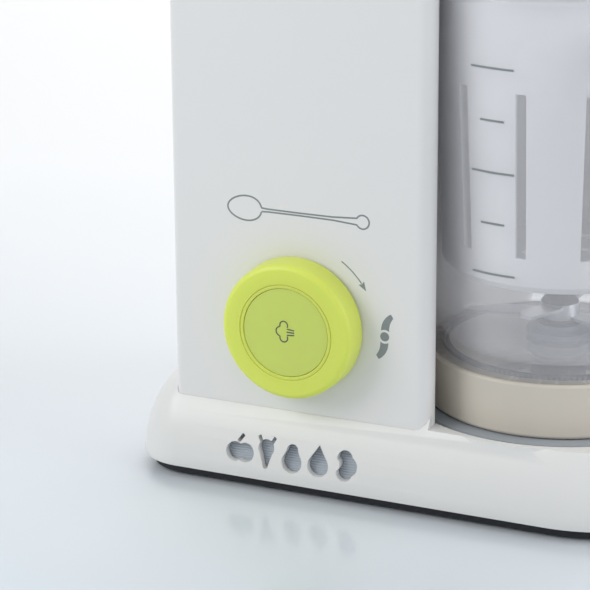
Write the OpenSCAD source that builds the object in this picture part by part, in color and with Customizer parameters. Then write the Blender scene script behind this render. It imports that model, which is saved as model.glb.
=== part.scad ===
// Baby food maker: steam cooker and blender with a lift-off jug.
// Front is -Y, left is -X, up is +Z. The origin is on the floor, under the middle of the overall box.

/* [Overall] */
// Width of the base at its lower edge
base_w = 232; // [230:1:236]
// Depth from the knob's front face to the back of the base
overall_d = 160; // [158:1:164]
// Height of the control column's flat top
column_top = 262; // [258:1:266]

/* [Base] */
// How far the base's skirt spreads past its neck
flare = 18.5; // [17:0.5:20]
// Height of the skirt's lower edge above the floor
skirt_z = 5; // [4.5:0.5:6]
// Height of the shoulder around the column
shoulder_z = 41; // [40:0.5:42]
// Radius of the skirt's large convex curve
skirt_r = 51; // [49:1:56]
// Wall thickness of the moulded casings
wall = 2.5; // [2.2:0.1:2.8]

/* [Control column] */
// Width of the front panel
panel_w = 108; // [104:1:110]
// How far the panel stands in front of the base's neck
panel_proud = 10; // [9:0.5:11]
// Depth of the panel's side returns
panel_return = 7; // [6:0.5:7]
// Radius of the concave side that the jug stands in
cradle_r = 61.5; // [61:0.5:63]

/* [Knob] */
// Outer radius of the control knob
knob_r = 27.5; // [25:0.5:28]
// How far the knob's face stands off the panel
knob_depth = 12.5; // [11:0.5:14]
// Height of the knob's axis above the floor
knob_z = 69.5; // [68:0.5:72]
// Radius of the steam button
button_r = 17.7; // [16:0.1:18]

/* [Jug] */
// Axis of the jug, from the origin
jug_x = 41.5; // [41:0.5:43]
// Outer radius of the jug's rim
jug_rim_r = 57.5; // [56:0.5:58]
// Height of the jug's rim above the floor
jug_rim_z = 204; // [200:1:206]
// Number of blades
blade_count = 4; // [2:2:4]

/* [Drive] */
// Working radius of the motor's pulley
motor_pulley_r = 9; // [8:1:10]
// Working radius of the drive pulley
drive_pulley_r = 26; // [24:1:27]

/* [Hidden] */
$fn = 64;
slip = 0.15; // gap between casings that close on each other
run_fit = 0.05; // gap between a shaft and what it runs in

panel_y = -overall_d / 2 + knob_depth;
neck_front = panel_y + panel_proud;
neck_back = overall_d / 2 - flare;
neck_x = base_w / 2 - flare;
panel_left = -neck_x;
panel_right = panel_left + panel_w;
panel_mid = (panel_left + panel_right) / 2;
column_back = neck_back - 3;
column_foot = 30;
split_y = panel_y + panel_return;
cap_z = column_top - 12;
jug_y = -5.5;

dish_z = 31;
plate_z = 1.2;
plate_inset = 4;
left_corner_r = 3;
right_corner_r = 36;
shoulder_blend_z = 36.5;
platform_z = 33.5; // height of the base's top round the jug

seat_ring_z = dish_z + 1.5;
collar_z = seat_ring_z + 0.3;
jug_floor_z = 58.5;
jug_foot_r = 51.5;
jug_wall = 2.6;
basket_z = 88;
handle_angle = -45;
handle_w = 20;

motor_x = -58;
motor_y = -3;
pulley_z = 12;
pulley_h = 10;

tank_x = -60;
tank_r = 28;
tank_wall = 1.2;
tank_floor_z = 180;
tank_rim_z = column_top - 10;
tank_collar_r = 31;
tank_lid_r = 34;
lid_hinge_y = jug_y + 38.5;
lid_hinge_z = column_top + 4.2;
lever_y = jug_y + 12;
lever_z = column_top + 11.5;
port_z = 216.5;
port_x = jug_x - cradle_r;
steam_out_z = tank_rim_z - 8;

white = [0.93, 0.93, 0.92];
lime = [0.76, 0.85, 0.28];
dull_lime = [0.72, 0.81, 0.40];
ink = [0.50, 0.54, 0.54];
black = [0.12, 0.13, 0.15];
warm_grey = [0.62, 0.59, 0.54];
mid_grey = [0.60, 0.63, 0.66];
steel = [0.75, 0.76, 0.78];
rubber = [0.16, 0.16, 0.17];
brass = [0.80, 0.66, 0.32];

// ---------- outlines and lofts ----------

// Points of an arc about c, from angle a0 to a1, in n steps
function arc(c, r, a0, a1, n) =
    [for (i = [0:n]) c + r * [cos(a0 + (a1 - a0) * i / n), sin(a0 + (a1 - a0) * i / n)]];

// Plan of the base, grown by d from its neck
function base_ring(d) = concat(
    arc([-neck_x + left_corner_r, neck_front + left_corner_r], left_corner_r + d, 180, 270, 12),
    arc([neck_x - right_corner_r, neck_front + right_corner_r], right_corner_r + d, 270, 360, 16),
    arc([neck_x - right_corner_r, neck_back - right_corner_r], right_corner_r + d, 0, 90, 16),
    arc([-neck_x + left_corner_r, neck_back - left_corner_r], left_corner_r + d, 90, 180, 12)
);

// Plan of the control column before its concave side is cut, drawn in by e
function column_ring(e) =
    let (
        left_r = max(2.5 - e, 0.5),
        right_r = max(5.5 - e, 0.5),
        back_r = max(10 - e, 0.5),
        x0 = panel_left + e,
        x1 = panel_right - e
    )
    concat(
        arc([x0 + left_r, panel_y + e + left_r], left_r, 180, 270, 4),
        arc([x1 - right_r, panel_y + e + right_r], right_r, 270, 360, 4),
        arc([x1 - back_r, column_back - e - back_r], back_r, 0, 90, 6),
        arc([x0 + back_r, column_back - e - back_r], back_r, 90, 180, 6)
    );

module column_plan(e) {
    difference() {
        polygon(column_ring(e));
        translate([jug_x, jug_y]) circle(r = cradle_r + e);
    }
}

// How far the skirt stands out at height z, up to where its shoulder blend begins
function skirt_out(z) = flare - (skirt_r - sqrt(pow(skirt_r, 2) - pow(z - skirt_z, 2)));

blend_sin = (shoulder_blend_z - skirt_z) / skirt_r;
blend_angle = asin(blend_sin);
blend_r = (shoulder_z - shoulder_blend_z) / (1 - blend_sin);
blend_c = [skirt_out(shoulder_blend_z) - blend_r * cos(blend_angle), shoulder_z - blend_r];

// [spread, height] up the skirt's outside, with a small round at its lower edge
skirt_profile = concat(
    arc([skirt_out(skirt_z) - 0.8, skirt_z + 0.8], 0.8, -90, 0, 2),
    [for (i = [1:7]) let (z = skirt_z + 1 + (shoulder_blend_z - skirt_z - 1) * i / 7) [skirt_out(z), z]],
    [for (i = [1:5]) blend_c + blend_r * [cos(blend_angle + (90 - blend_angle) * i / 5),
                                          sin(blend_angle + (90 - blend_angle) * i / 5)]]
);
roof_edge = -2.8;

// Cross-section of the skirt's wall: outside upward, then inside downward
module skirt_section() {
    last = len(skirt_profile) - 1;
    inside = [for (i = [last:-1:0]) let (p = skirt_profile[i] - [wall, wall])
        if (p[0] > roof_edge && p[1] > skirt_z) p];
    polygon(concat(skirt_profile, [[roof_edge, shoulder_z], [roof_edge, shoulder_z - wall]], inside,
        [[skirt_out(skirt_z) - wall, skirt_z]]));
}

// The skirt's wall all the way round: four turned corners and four straight sides
module skirt_wall() {
    left_run = neck_back - neck_front - 2 * left_corner_r;
    right_run = neck_back - neck_front - 2 * right_corner_r;
    front_run = 2 * neck_x - left_corner_r - right_corner_r;
    // [corner centre x, y, corner radius, first angle, length of the side after the corner]
    corners = [
        [-neck_x + left_corner_r, neck_front + left_corner_r, left_corner_r, 180, front_run],
        [neck_x - right_corner_r, neck_front + right_corner_r, right_corner_r, 270, right_run],
        [neck_x - right_corner_r, neck_back - right_corner_r, right_corner_r, 0, front_run],
        [-neck_x + left_corner_r, neck_back - left_corner_r, left_corner_r, 90, left_run]
    ];
    for (c = corners) translate([c[0], c[1], 0]) rotate(c[3]) {
        rotate_extrude(angle = 90) translate([c[2], 0]) skirt_section();
        translate([0, c[2], 0]) rotate([90, 0, -90]) mirror([1, 0, 0]) linear_extrude(c[4]) skirt_section();
    }
}

// Closed solid through a stack of rings that have the same number of points
module loft(rings) {
    n = len(rings[0]);
    top = len(rings) - 1;
    points = [for (ring = rings) for (p = ring) p];
    sides = [for (k = [0:top - 1]) for (i = [0:n - 1])
        let (j = (i + 1) % n)
        each [[k * n + i, (k + 1) * n + i, (k + 1) * n + j], [k * n + i, (k + 1) * n + j, k * n + j]]];
    floor_face = [for (i = [0:n - 1]) i];
    roof_face = [for (i = [n - 1:-1:0]) top * n + i];
    polyhedron(points, concat(sides, [floor_face, roof_face]));
}

function at_height(outline, z) = [for (p = outline) [p[0], p[1], z]];

module at_jug(z) { translate([jug_x, jug_y, z]) children(); }
module at_motor(z) { translate([motor_x, motor_y, z]) children(); }
module at_tank(z) { translate([tank_x, jug_y, z]) children(); }
// Local +Z points out of the panel, and local +Y points up
module at_knob(out) {
    translate([panel_mid, panel_y - out, knob_z]) rotate([90, 0, 0]) children();
}
module tube(r_out, r_in, h) {
    difference() {
        cylinder(r = r_out, h = h);
        translate([0, 0, -1]) cylinder(r = r_in, h = h + 2);
    }
}
module ring_of(count, r, start = 0) {
    for (i = [0:count - 1]) rotate([0, 0, start + i * 360 / count]) translate([r, 0, 0]) children();
}

// ---------- base ----------

window_pitch = 11.2;
window_z = 16.3;
window_tilt = 15.8;
window_scale = 1.14;
insert_y = panel_y - 3.4;
plate_floor = 2.4;
boss_z = plate_z + 5.2;
boss_top = 32;
// [x, y, direction and length of the rib that joins the boss to the skirt]
screw_spots = [
    [-100, -40, 180, 9.5], [-100, 44, 180, 9.5], [98, -20, 0, 11.5], [98, 16, 0, 11.5],
    [40, -62, -90, 7.5], [-20, 66, 90, 7.5]
];
foot_spots = [[-88, -52], [84, -44], [84, 48], [-88, 50]];
foot_r = 9;
pocket = 1.2; // depth of the plate's pockets for the feet and the screw heads
screw_r = 1.4;
screw_head_h = 1;
screw_length = 12;

// Five food shapes cut through the skirt, each about 10 mm high
module apple_shape() {
    translate([-1.9, -0.9]) circle(r = 3.4);
    translate([1.9, -0.9]) circle(r = 3.4);
    translate([0, 3.9]) rotate(-35) square([1.3, 3.2], center = true);
}
module carrot_shape() {
    polygon([[-3, 1.8], [3, 1.8], [0.9, -4.6], [-0.9, -4.6]]);
    translate([0, 1.8]) circle(r = 3);
    translate([0, -4.4]) circle(r = 1);
    for (a = [-28, 28]) rotate(a) translate([0, 5]) square([1.3, 3], center = true);
}
module drop_shape() {
    translate([0, -1.4]) circle(r = 3.9);
    polygon([[-3.4, 0.5], [0, 5.6], [3.4, 0.5]]);
}
module pear_shape() {
    translate([0, -1.7]) circle(r = 3.8);
    translate([0, 2.3]) circle(r = 2.2);
    polygon([[-3.5, -0.6], [-2.1, 2.6], [2.1, 2.6], [3.5, -0.6]]);
}
module bean_shape() {
    difference() {
        union() {
            translate([0, 2.4]) circle(r = 2.9);
            translate([0, -2.4]) circle(r = 2.9);
            translate([1.1, 0]) circle(r = 3.6);
        }
        translate([-4.2, 0]) circle(r = 2.4);
    }
}
module window_shapes() {
    for (i = [0:4]) translate([(i - 2) * window_pitch, 0]) scale(window_scale) {
        if (i == 0) apple_shape();
        if (i == 1) carrot_shape();
        if (i == 2) pear_shape();
        if (i == 3) drop_shape();
        if (i == 4) bean_shape();
    }
}

// Wall across the base where its shoulder steps down to the platform
module step_wall() {
    half = (neck_back - neck_front) / 2;
    mid = (neck_back + neck_front) / 2;
    inset = 1.2;
    back_side = [for (p = skirt_profile) [mid + half + p[0] - inset, p[1]]];
    last = len(skirt_profile) - 1;
    front_side = [for (i = [last:-1:0]) [mid - half - skirt_profile[i][0] + inset, skirt_profile[i][1]]];
    translate([panel_right - wall, 0, 0]) rotate([90, 0, 90]) linear_extrude(wall) difference() {
        polygon(concat(back_side, front_side));
        translate([mid - 2 * half, 0]) square([4 * half, platform_z - wall]);
    }
}

module base_shell() {
    color(white) difference() {
        union() {
            difference() {
                union() {
                    skirt_wall();
                    translate([0, 0, shoulder_z - wall]) linear_extrude(wall) polygon(base_ring(-2));
                }
                translate([panel_right, -200, platform_z]) cube([200, 400, 40]);
            }
            step_wall();
            translate([0, 0, platform_z - wall]) linear_extrude(wall) intersection() {
                polygon(base_ring(skirt_out(platform_z) - 1));
                translate([panel_right - wall, -200]) square([200, 400]);
            }
            at_jug(dish_z - wall) cylinder(r = cradle_r + wall, h = platform_z - dish_z + wall);
            for (p = screw_spots) translate([p[0], p[1], 0]) {
                translate([0, 0, boss_z]) cylinder(r = 4, h = boss_top - boss_z);
                rotate(p[2]) translate([0, -1, 22]) cube([p[3], 2, 7]);
            }
        }
        at_jug(dish_z) cylinder(r = cradle_r, h = 20);
        at_jug(0) cylinder(r = 14, h = 60);
        translate([0, 0, column_foot - 0.2]) linear_extrude(40) column_plan(-slip);
        for (p = screw_spots) translate([p[0], p[1], 0]) cylinder(r = screw_r + 0.05, h = 24);
        translate([panel_mid, panel_y, window_z]) rotate([90, 0, 0]) linear_extrude(20) window_shapes();
    }
}

module base_plate() {
    rim = flare - plate_inset;
    color(black) difference() {
        translate([0, 0, plate_z]) linear_extrude(5) polygon(base_ring(rim));
        difference() {
            translate([0, 0, plate_z + plate_floor]) linear_extrude(6) polygon(base_ring(rim - 2.4));
            for (p = screw_spots) translate([p[0], p[1], 0]) cylinder(r = 4, h = boss_z);
        }
        for (p = foot_spots) translate([p[0], p[1], 0]) cylinder(r = foot_r, h = plate_z + pocket);
        for (p = screw_spots) translate([p[0], p[1], -1]) {
            cylinder(r = screw_r + 0.2, h = 10);
            cylinder(r = 3.4, h = 1 + plate_z + pocket);
        }
        for (i = [-4:4]) translate([motor_x + i * 6 - 1.5, motor_y - 16, -1]) cube([3, 32, 10]);
    }
}

module rubber_feet() {
    color(rubber) for (p = foot_spots) translate([p[0], p[1], 0])
        cylinder(r = foot_r - 0.1, h = plate_z + pocket);
}

// Cross-headed screw: the underside of its head is at the origin, and its shank runs along +Z
module screw() {
    difference() {
        translate([0, 0, -screw_head_h]) cylinder(r = 3, h = screw_head_h);
        for (a = [0, 90]) rotate(a) translate([-2, -0.35, -screw_head_h - 0.1]) cube([4, 0.7, 0.7]);
    }
    cylinder(r = screw_r, h = screw_length);
}

module case_screws() {
    color(steel) {
        for (p = screw_spots) translate([p[0], p[1], plate_z + pocket]) screw();
        for (p = back_screws) translate([p[0], column_back, p[1]]) rotate([90, 0, 0]) screw();
    }
}

// Ribbed grey plate that closes the windows from inside
module window_insert() {
    color(mid_grey)
    translate([panel_mid, insert_y, window_z]) rotate([-window_tilt, 0, 0]) difference() {
        translate([-29, 0, -7.2]) cube([58, 1.6, 14.4]);
        for (i = [-7:6]) translate([-28, -0.1, i + 0.3]) cube([56, 0.45, 0.45]);
    }
}

module seat_ring() {
    color(mid_grey) at_jug(dish_z) difference() {
        tube(58, 34, 1.5);
        ring_of(3, 46) translate([0, 0, 0.7]) cylinder(r = 2, h = 2);
    }
}

module dish_seal() {
    color(rubber) at_jug(dish_z - wall) difference() {
        union() {
            cylinder(r = 13.8, h = wall + 0.2);
            translate([0, 0, wall]) cylinder(r = 16, h = 1);
            translate([0, 0, wall + 1]) cylinder(r1 = 12, r2 = 6.5, h = 4);
        }
        translate([0, 0, -1]) cylinder(r = spindle_r + 0.1, h = 20);
    }
}

// ---------- control column ----------

module column_wall(h) {
    linear_extrude(h) difference() {
        column_plan(0);
        column_plan(wall);
    }
}

module front_panel() {
    color(white) difference() {
        translate([0, 0, column_foot]) intersection() {
            column_wall(cap_z - column_foot);
            translate([panel_left - 1, panel_y - 1, -1]) cube([panel_w + 2, panel_return + 1, 300]);
        }
        at_knob(-wall - 1) cylinder(r = 8.6, h = wall + 2);
    }
}

// [x, z] of the screws in the column's back
back_screws = [[-80, 161], [-40, 161], [-48, 56], [-30, 56]];
gland_x = -72;
gland_z = 72;
slot_count = 9;
slot_w = 3;
slot_pitch = 8;
seam_y = 50; // the outer walls meet the concave wall here

// Holes for the screws in the column's back, from outside it to the given depth
module back_screw_holes(depth) {
    for (p = back_screws) translate([p[0], column_back + 1, p[1]]) rotate([90, 0, 0])
        cylinder(r = screw_r + 0.1, h = depth + 1);
}

// Block round the concave wall, up to the seams
module cradle_zone() {
    left = port_x - wall - 1;
    translate([left, split_y, -1]) cube([panel_right + 1 - left, seam_y - split_y, 300]);
}

module rear_housing() {
    color(white) difference() {
        translate([0, 0, column_foot]) intersection() {
            column_wall(cap_z - column_foot);
            translate([panel_left - 1, split_y, -1]) cube([panel_w + 2, 200, 300]);
        }
        cradle_zone();
        for (i = [0:slot_count - 1])
            translate([-80 + i * slot_pitch, column_back - wall - 1, 96]) cube([slot_w, wall + 2, 46]);
        translate([gland_x, column_back + 1, gland_z]) rotate([90, 0, 0]) cylinder(r = 7.6, h = wall + 2);
        back_screw_holes(wall + 1);
    }
}

// Concave wall that the jug stands in, with the hole for the steam port
module cradle_wall() {
    color(white) difference() {
        translate([0, 0, column_foot]) intersection() {
            column_wall(cap_z - column_foot);
            cradle_zone();
        }
        translate([port_x - wall - 1, jug_y, port_z]) rotate([0, 90, 0]) cylinder(r = 6.1, h = wall + 3);
    }
}

// Plan of the column as one outline, with its concave side in straight steps
function cap_ring(e) =
    let (
        x1 = panel_right - e,
        swing = asin((jug_x - x1) / (cradle_r + e)),
        start = 270 - swing,
        front = [for (p = column_ring(e)) if (p[1] < 0) p],
        back = [for (p = column_ring(e)) if (p[1] > 0) p]
    )
    concat(front, arc([jug_x, jug_y], cradle_r + e, start, 180 - (start - 180), 16), back);

cap_round = 6;
module top_cap() {
    steps = [
        [0, cap_z], [0, column_top - cap_round], [0.8, column_top - 3],
        [2.4, column_top - 1.2], [cap_round, column_top]
    ];
    inner = [[wall, cap_z - 1], [wall, column_top - cap_round], [wall + 3, column_top - wall]];
    color(white) resize([panel_w, 0, 0]) difference() {
        loft([for (p = steps) at_height(cap_ring(p[0]), p[1])]);
        loft([for (p = inner) at_height(cap_ring(p[0]), p[1])]);
        translate([tank_x, jug_y, cap_z]) cylinder(r = tank_collar_r + slip, h = 20);
        translate([tank_x - 14.3, lid_hinge_y - 5, column_top - 1.2]) cube([28.6, 10, 4]);
    }
}

hinge_pin_r = 1.5;
lever_pin_r = 1.2;
barrel_w = 27.4;
lug_t = 3.5;
lug_r = 3.8;

// Round bar along X, centred on the lid's middle, with its axis at y and z
module cross_bar(y, z, r, length) {
    translate([tank_x - length / 2, y, z]) rotate([0, 90, 0]) cylinder(r = r, h = length);
}

// Two lugs that carry the tank lid's hinge pin
module hinge_bracket() {
    rise = lid_hinge_z - column_top;
    color(white) difference() {
        for (x = [-14.5 - lug_t, 14.5]) translate([tank_x + x, lid_hinge_y, lid_hinge_z]) {
            rotate([0, 90, 0]) cylinder(r = lug_r, h = lug_t);
            translate([0, -lug_r, -rise]) cube([lug_t, 2 * lug_r, rise]);
        }
        cross_bar(lid_hinge_y, lid_hinge_z, hinge_pin_r, 60);
    }
}

function ellipse(rx, ry) = [for (a = [0:10:350]) [rx * cos(a), ry * sin(a)]];

// Printed signs on the panel: a turning arrow, a blade and a spoon
module panel_marks() {
    arrow_r = 33;
    leaf = [[-1.5, 2.3], [-1.4, 3.8], [-1, 5.1], [-0.5, 6.4], [0.3, 7.6], [1.3, 8.6], [2.4, 9.2],
            [3.5, 7.7], [2.8, 7], [2.3, 5.8], [1.95, 4.1], [1.8, 2.4], [0.2, 2.75]];
    color(ink) at_knob(0) {
        linear_extrude(0.2) polygon(concat(
            arc([0, 0], arrow_r + 0.25, 37, 56.6, 10), arc([0, 0], arrow_r - 0.25, 56.6, 37, 10)
        ));
        rotate(30.7) linear_extrude(0.2) polygon([[arrow_r, 0], [arrow_r + 1.2, 3.6], [arrow_r - 1.5, 3.6]]);
        translate([36.15, -0.4, 0]) {
            cylinder(r = 1.85, h = 0.2);
            for (a = [0, 180]) rotate(a) linear_extrude(0.2) polygon(leaf);
        }
        translate([0.5, 44.1, 0]) {
            translate([-23, 0, 0]) linear_extrude(0.2) difference() {
                polygon(ellipse(7.4, 5));
                polygon(ellipse(6.4, 4));
            }
            translate([-15.7, -0.5, 0]) cube([42, 1, 0.2]);
            translate([28.3, 0, 0]) tube(2.2, 1.2, 0.2);
        }
    }
}

// ---------- mains inlet ----------

cord_r = 3.6;
module cord_gland() {
    color(black) translate([gland_x, column_back, gland_z]) rotate([-90, 0, 0]) difference() {
        union() {
            translate([0, 0, -wall - 2.4]) cylinder(r = 7.4, h = wall + 4.8);
            cylinder(r = 9.5, h = 2.4);
            translate([0, 0, -wall - 2.4]) cylinder(r = 9, h = 2.4);
        }
        translate([0, 0, -20]) cylinder(r = cord_r, h = 40);
    }
}

module terminal_block() {
    color([0.85, 0.84, 0.78]) translate([-84, column_back - wall - 14, 42]) difference() {
        cube([26, 14, 12]);
        for (i = [0:2]) translate([4.5 + i * 8.5, 7, 5]) cylinder(r = 2.4, h = 10);
    }
}

// ---------- motor and drive ----------

motor_r = 27;
motor_h = 58;
motor_z = 62;
motor_shaft_r = 3;
bracket_t = 2;

module motor_can() {
    skin = 2;
    color(steel) at_motor(motor_z) difference() {
        cylinder(r = motor_r, h = motor_h);
        translate([0, 0, skin]) cylinder(r = motor_r - skin, h = motor_h - 2 * skin);
        translate([0, 0, -1]) cylinder(r = motor_shaft_r + 0.06, h = motor_h + 2);
        ring_of(6, 16) translate([0, 0, -1]) cylinder(r = 3, h = motor_h + 2);
    }
}

// Plate on four legs, with a tongue screwed to the column's back
module motor_bracket() {
    back = column_back - wall;
    under = motor_z - bracket_t;
    foot = plate_z + plate_floor;
    color(steel) difference() {
        union() {
            translate([motor_x - 31, motor_y - 30, under]) cube([62, 60, bracket_t]);
            translate([motor_x + 4, motor_y + 29, under]) cube([30, back - motor_y - 29, bracket_t]);
            translate([motor_x + 4, back - 1.5, motor_z - 12]) cube([30, 1.5, 12]);
            at_motor(foot) for (x = [-27, 27], y = [-26, 26]) translate([x, y, 0])
                cylinder(r = 3, h = motor_z - 1 - foot);
        }
        at_motor(motor_z - 10) cylinder(r = 9, h = 20);
        back_screw_holes(8);
    }
}

// Laminated core on the motor's shaft
module motor_rotor() {
    color(steel) at_motor(0) {
        translate([0, 0, pulley_z]) cylinder(r = motor_shaft_r, h = motor_z + motor_h + 10 - pulley_z);
        translate([0, 0, motor_z + 14]) cylinder(r = 20, h = 28);
        translate([0, 0, motor_z + 6]) cylinder(r = 10, h = 44);
    }
}

module motor_fan() {
    bore = motor_shaft_r;
    color(black) at_motor(motor_z + motor_h + 2) {
        rotate_extrude() polygon([[bore, 0], [22, 0], [22, 1.4], [8, 1.4], [8, 8], [bore, 8]]);
        ring_of(6, 7.5) translate([0, -0.8, 1]) cube([13, 1.6, 7]);
    }
}

flange = 1.2;
module pulley(r, bore, h) {
    difference() {
        union() {
            cylinder(r = r, h = h);
            for (z = [0, h - flange]) translate([0, 0, z]) cylinder(r = r + 2.6, h = flange);
        }
        translate([0, 0, -1]) cylinder(r = bore, h = h + 2);
    }
}

module motor_pulley() {
    color(brass) at_motor(pulley_z) pulley(motor_pulley_r, motor_shaft_r, pulley_h);
}

module drive_pulley() {
    color(black) at_jug(pulley_z) difference() {
        pulley(drive_pulley_r, spindle_r, pulley_h);
        ring_of(5, 15.5) translate([0, 0, -1]) cylinder(r = 5.5, h = pulley_h + 2);
    }
}

// Outline round both pulleys, at a gap from their working radii
function belt_ring(gap) =
    let (
        span = [jug_x - motor_x, jug_y - motor_y],
        reach = norm(span),
        lean = atan2(span[1], span[0]),
        wrap = acos((motor_pulley_r - drive_pulley_r) / reach)
    )
    concat(
        arc([motor_x, motor_y], motor_pulley_r + gap, lean + wrap, lean + 360 - wrap, 24),
        arc([jug_x, jug_y], drive_pulley_r + gap, lean - wrap, lean + wrap, 40)
    );

module drive_belt() {
    color(rubber) translate([0, 0, pulley_z + 1.8]) linear_extrude(pulley_h - 3.6) difference() {
        polygon(belt_ring(2));
        polygon(belt_ring(0.35));
    }
}

spindle_r = 4;
bearing_r = 7;
bearing_h = 4;
low_bearing_z = 5;
high_bearing_z = 24;

module drive_spindle() {
    color(steel) at_jug(low_bearing_z) cylinder(r = spindle_r, h = coupler_z + 2.5 - low_bearing_z);
}

module drive_bearings() {
    color(brass) for (z = [low_bearing_z, high_bearing_z]) at_jug(z)
        tube(bearing_r, spindle_r + run_fit, bearing_h);
}

// Sheet bridge under the dish, with a cup for each bearing
module bearing_carrier() {
    half = 32;
    half_w = 12;
    sheet = 2;
    foot = plate_z + plate_floor;
    bridge = high_bearing_z;
    color(steel) at_jug(0) difference() {
        union() {
            translate([-half, -half_w, bridge]) cube([2 * half, 2 * half_w, sheet]);
            translate([0, 0, bridge]) cylinder(r = bearing_r + 2, h = bearing_h + 0.4);
            for (x = [-half, half - sheet]) translate([x, -half_w, foot])
                cube([sheet, 2 * half_w, bridge + sheet - foot]);
            translate([-half, -half_w, foot]) cube([2 * half, 2 * half_w, low_bearing_z - foot]);
            translate([0, 0, foot]) cylinder(r = bearing_r + 2, h = low_bearing_z + bearing_h - foot);
        }
        translate([0, 0, low_bearing_z]) cylinder(r = bearing_r, h = bridge + bearing_h - low_bearing_z);
        translate([0, 0, bridge - 4]) cylinder(r = spindle_r + 1, h = 20);
    }
}

coupler_z = 38;
coupler_h = 8;
socket_top = coupler_z + coupler_h + 0.5;

// Six-lobed driver that the jug's coupler drops over
module lobed(core, lobe, h) {
    cylinder(r = core, h = h);
    ring_of(6, core) cylinder(r = lobe, h = h);
}

module drive_coupler() {
    color(black) at_jug(coupler_z) difference() {
        union() {
            lobed(5.6, 1.4, coupler_h);
            cylinder(r = 7.2, h = 1.2);
        }
        translate([0, 0, -1]) cylinder(r = spindle_r, h = 3.5);
    }
}

// ---------- water tank and steam path ----------

module tank() {
    color(steel) at_tank(tank_floor_z) difference() {
        union() {
            cylinder(r = tank_r, h = tank_rim_z - tank_floor_z);
            translate([0, 0, tank_rim_z - tank_floor_z - 2]) cylinder(r = tank_collar_r, h = 2);
        }
        translate([0, 0, 1.5]) cylinder(r = tank_r - tank_wall, h = 90);
        translate([tank_r - 6, 0, steam_out_z - tank_floor_z]) rotate([0, 90, 0]) cylinder(r = 2.5, h = 12);
    }
}

// Ring that lines the filling hole and clamps the tank to the cap
module tank_collar() {
    color(mid_grey) at_tank(tank_rim_z) difference() {
        union() {
            cylinder(r = tank_collar_r, h = column_top - tank_rim_z + 0.4);
            translate([0, 0, column_top - tank_rim_z]) cylinder(r = tank_collar_r + 1.6, h = 0.8);
        }
        translate([0, 0, -1]) cylinder(r = tank_r - tank_wall, h = 20);
    }
}

module heating_element() {
    color(steel) at_tank(tank_floor_z - 4) {
        rotate_extrude(angle = 330) translate([19, 0]) circle(r = 4);
        for (a = [0, 330]) rotate(a) translate([19, 0, -9]) cylinder(r = 1.5, h = 9);
    }
}

module tank_bracket() {
    back = column_back - wall;
    plate = tank_floor_z - 14;
    left = panel_left + wall + 7.7;
    plate_w = 56;
    color(steel) difference() {
        union() {
            translate([left, jug_y - 32, plate]) cube([plate_w, back - jug_y + 32, 1.5]);
            translate([left, back - 1.5, plate - 10]) cube([plate_w, 1.5, 11]);
            at_tank(plate) ring_of(4, 26.5, 45) cylinder(r = 2, h = tank_floor_z - plate);
        }
        at_tank(plate - 1) cylinder(r = 24, h = 5);
        back_screw_holes(8);
    }
}

module thermostats() {
    color([0.25, 0.25, 0.26]) for (x = [-6.5, 6.5]) at_tank(tank_floor_z - 8) translate([x, 0, 0]) {
        cylinder(r = 5.5, h = 8);
        for (s = [-4, 3]) translate([s, -1.5, -6]) cube([0.8, 3, 6.5]);
    }
}

// Tube from the tank's side, down to the outlet in the column's concave side
module steam_run(r) {
    inlet_x = tank_x + tank_r - 1.1;
    bend_x = -28.2;
    translate([inlet_x, jug_y, steam_out_z]) rotate([0, 90, 0]) cylinder(r = r, h = bend_x - inlet_x);
    translate([bend_x, jug_y, port_z]) cylinder(r = r, h = steam_out_z - port_z);
    translate([bend_x, jug_y, port_z]) rotate([0, 90, 0]) cylinder(r = r, h = port_x - wall - 2 - bend_x);
    for (z = [port_z, steam_out_z]) translate([bend_x, jug_y, z]) sphere(r = r);
}
module steam_pipe() {
    color([0.85, 0.85, 0.83]) difference() {
        steam_run(2.5);
        steam_run(1.6);
        translate([-45, jug_y, steam_out_z]) rotate([0, 90, 0]) cylinder(r = 1.6, h = 14);
        translate([-28, jug_y, port_z]) rotate([0, 90, 0]) cylinder(r = 1.6, h = 14);
    }
}

module steam_port() {
    color(mid_grey) translate([port_x, jug_y, port_z]) rotate([0, 90, 0]) difference() {
        union() {
            translate([0, 0, -wall - 2]) cylinder(r = 6, h = wall + 3.2);
            translate([0, 0, 0.65]) cylinder(r = 8.2, h = 1.1);
        }
        translate([0, 0, -10]) cylinder(r = 3, h = 20);
    }
}

// ---------- controls behind the panel ----------

board_out = -18;
board_t = 1.6;
post_spots = [for (x = [-30, 30], y = [-21, 21]) [x, y, 0]];
shaft_r = 4;
stem_r = 1.5;

module control_board() {
    color([0.16, 0.42, 0.27]) at_knob(board_out - board_t) difference() {
        translate([-35, -26, 0]) cube([70, 52, board_t]);
        translate([0, 0, -1]) cylinder(r = shaft_r + 1, h = 4);
        for (p = post_spots) translate(p + [0, 0, -1]) cylinder(r = 1.6, h = 4);
    }
}

module board_posts() {
    color(white) at_knob(board_out) for (p = post_spots) translate(p)
        cylinder(r = 3.2, h = -board_out - wall);
}

module turn_switch() {
    color([0.2, 0.2, 0.22]) at_knob(board_out) difference() {
        translate([-11, -11, 0]) cube([22, 22, 9]);
        translate([0, 0, -1]) cylinder(r = shaft_r + run_fit, h = 12);
    }
}

module push_switch() {
    color([0.2, 0.2, 0.22]) at_knob(board_out - board_t) {
        translate([-7, -7, -13]) cube([14, 14, 7]);
        for (x = [-7, 5.4], y = [-7, 5.4]) translate([x, y, -13]) cube([1.6, 1.6, 13]);
    }
}

// ---------- knob and steam button ----------

face = knob_depth;
edge_r = 2;
button_gap = 0.3;
groove_r = button_r + button_gap;
knob_web = 3;

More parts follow.
